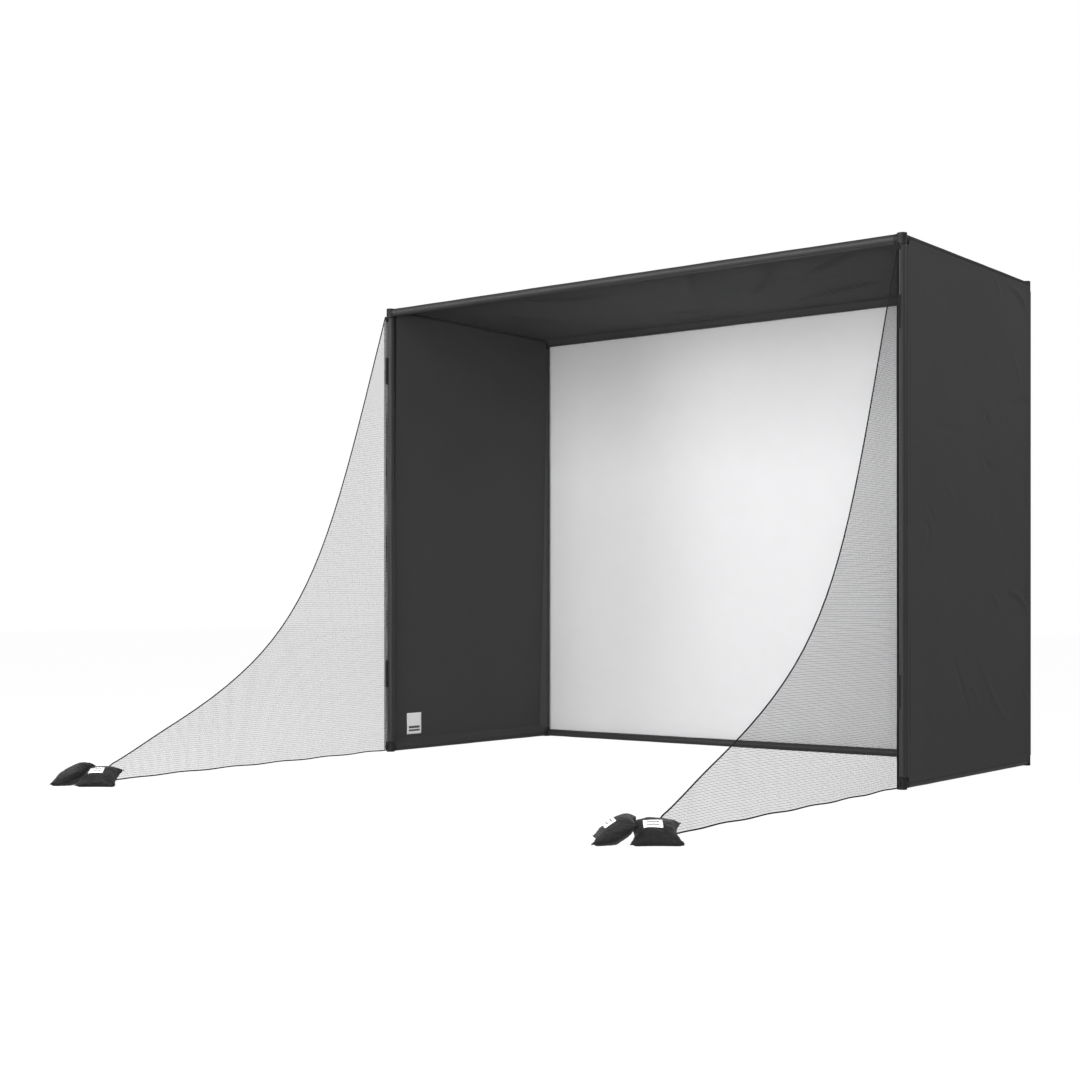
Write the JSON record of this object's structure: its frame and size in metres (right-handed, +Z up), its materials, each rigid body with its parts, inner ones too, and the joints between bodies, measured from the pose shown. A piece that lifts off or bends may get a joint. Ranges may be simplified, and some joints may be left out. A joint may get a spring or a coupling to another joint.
{
  "type": "golf practice net",
  "caption": "Free-standing golf hitting bay with a tube frame, black fabric top and sides, a pale impact screen and side barrier nets weighted by sand bags.",
  "frame": {"origin": "on the floor, under the centre of the overall bounding box with the sand bags included", "axes": "+X to the golfer's right, +Y from the open front towards the impact screen, +Z up"},
  "size_m": [3.4058, 3.789, 2.5],
  "materials": {
    "black_coated_steel": "satin powder coat",
    "black_fitting": "satin powder coat",
    "zinc_plated_steel": "plated, hidden inside the rails",
    "black_cover_fabric": "matt woven polyester",
    "impact_screen_fabric": "matt close-knit polyester",
    "black_webbing": "matt woven webbing",
    "black_elastic": "woven elastic with a moulded ball",
    "black_netting": "knotless netting",
    "black_border_cord": "braided cord",
    "black_bag_nylon": "slightly shiny woven nylon"
  },
  "bodies": {
    "frame": {"front_bottom_corner_left": "black_fitting", "front_top_corner_left": "black_fitting", "front_upright_left": "black_coated_steel", "rear_bottom_corner_left": "black_fitting", "rear_top_corner_left": "black_fitting", "rear_upright_left": "black_coated_steel", "bottom_side_rail_left": "black_coated_steel", "top_side_rail_left": "black_coated_steel", "front_bottom_corner_right": "black_fitting", "front_top_corner_right": "black_fitting", "front_upright_right": "black_coated_steel", "rear_bottom_corner_right": "black_fitting", "rear_top_corner_right": "black_fitting", "rear_upright_right": "black_coated_steel", "bottom_side_rail_right": "black_coated_steel", "top_side_rail_right": "black_coated_steel", "front_top_rail_left": "black_coated_steel", "front_top_rail_right": "black_coated_steel", "front_top_rail_splice": "zinc_plated_steel", "rear_top_rail_left": "black_coated_steel", "rear_top_rail_right": "black_coated_steel", "rear_top_rail_splice": "zinc_plated_steel", "rear_bottom_rail_left": "black_coated_steel", "rear_bottom_rail_right": "black_coated_steel", "rear_bottom_rail_splice": "zinc_plated_steel", "top_cover": "black_cover_fabric", "side_cover_left": "black_cover_fabric", "side_cover_right": "black_cover_fabric", "rear_bottom_sleeve": "black_cover_fabric", "net_loop_top_left": "black_webbing", "net_loop_upper_left": "black_webbing", "net_loop_lower_left": "black_webbing", "net_loop_bottom_left": "black_webbing", "net_loop_top_right": "black_webbing", "net_loop_upper_right": "black_webbing", "net_loop_lower_right": "black_webbing", "net_loop_bottom_right": "black_webbing"},
    "screen": {"impact_screen": "impact_screen_fabric", "screen_hem": "black_webbing", "screen_tie_top_1": "black_elastic", "screen_tie_top_2": "black_elastic", "screen_tie_top_3": "black_elastic", "screen_tie_top_4": "black_elastic", "screen_tie_bottom_1": "black_elastic", "screen_tie_bottom_2": "black_elastic", "screen_tie_bottom_3": "black_elastic", "screen_tie_bottom_4": "black_elastic", "screen_tie_left_1": "black_elastic", "screen_tie_left_2": "black_elastic", "screen_tie_right_1": "black_elastic", "screen_tie_right_2": "black_elastic"},
    "left_net": {"side_net_left": "black_netting", "net_cord_left": "black_border_cord"},
    "right_net": {"side_net_right": "black_netting", "net_cord_right": "black_border_cord"},
    "left_front_bag": {"front_bag_left": "black_bag_nylon"},
    "left_rear_bag": {"rear_bag_left": "black_bag_nylon"},
    "right_front_bag": {"front_bag_right": "black_bag_nylon"},
    "right_rear_bag": {"rear_bag_right": "black_bag_nylon"}
  },
  "joints": [
    {"name": "left_net_swing", "type": "hinge", "parent": "frame", "child": "left_net", "pos_m": [-1.6516, 0.37175, 0], "axis": [0, 0, -1], "range_deg": [-30, 90]},
    {"name": "right_net_swing", "type": "hinge", "parent": "frame", "child": "right_net", "pos_m": [1.4868, 0.37175, 0], "axis": [0, 0, 1], "range_deg": [-30, 90]},
    {"name": "screen_give", "type": "slide", "parent": "frame", "child": "screen", "axis": [0, 1, 0], "range_m": [0, 0.04], "stiffness_N_per_m": 1500, "deforming": ["screen_tie_top_1", "screen_tie_top_2", "screen_tie_top_3", "screen_tie_top_4", "screen_tie_bottom_1", "screen_tie_bottom_2", "screen_tie_bottom_3", "screen_tie_bottom_4", "screen_tie_left_1", "screen_tie_left_2", "screen_tie_right_1", "screen_tie_right_2"]},
    {"name": "left_front_bag_lift", "type": "slide", "parent": "left_net", "child": "left_front_bag", "axis": [0, 0, 1], "range_m": [0, 0.3]},
    {"name": "left_rear_bag_lift", "type": "slide", "parent": "left_front_bag", "child": "left_rear_bag", "axis": [0, 0, 1], "range_m": [0, 0.3]},
    {"name": "right_front_bag_lift", "type": "slide", "parent": "right_net", "child": "right_front_bag", "axis": [0, 0, 1], "range_m": [0, 0.3]},
    {"name": "right_rear_bag_lift", "type": "slide", "parent": "right_front_bag", "child": "right_rear_bag", "axis": [0, 0, 1], "range_m": [0, 0.3]}
  ]
}
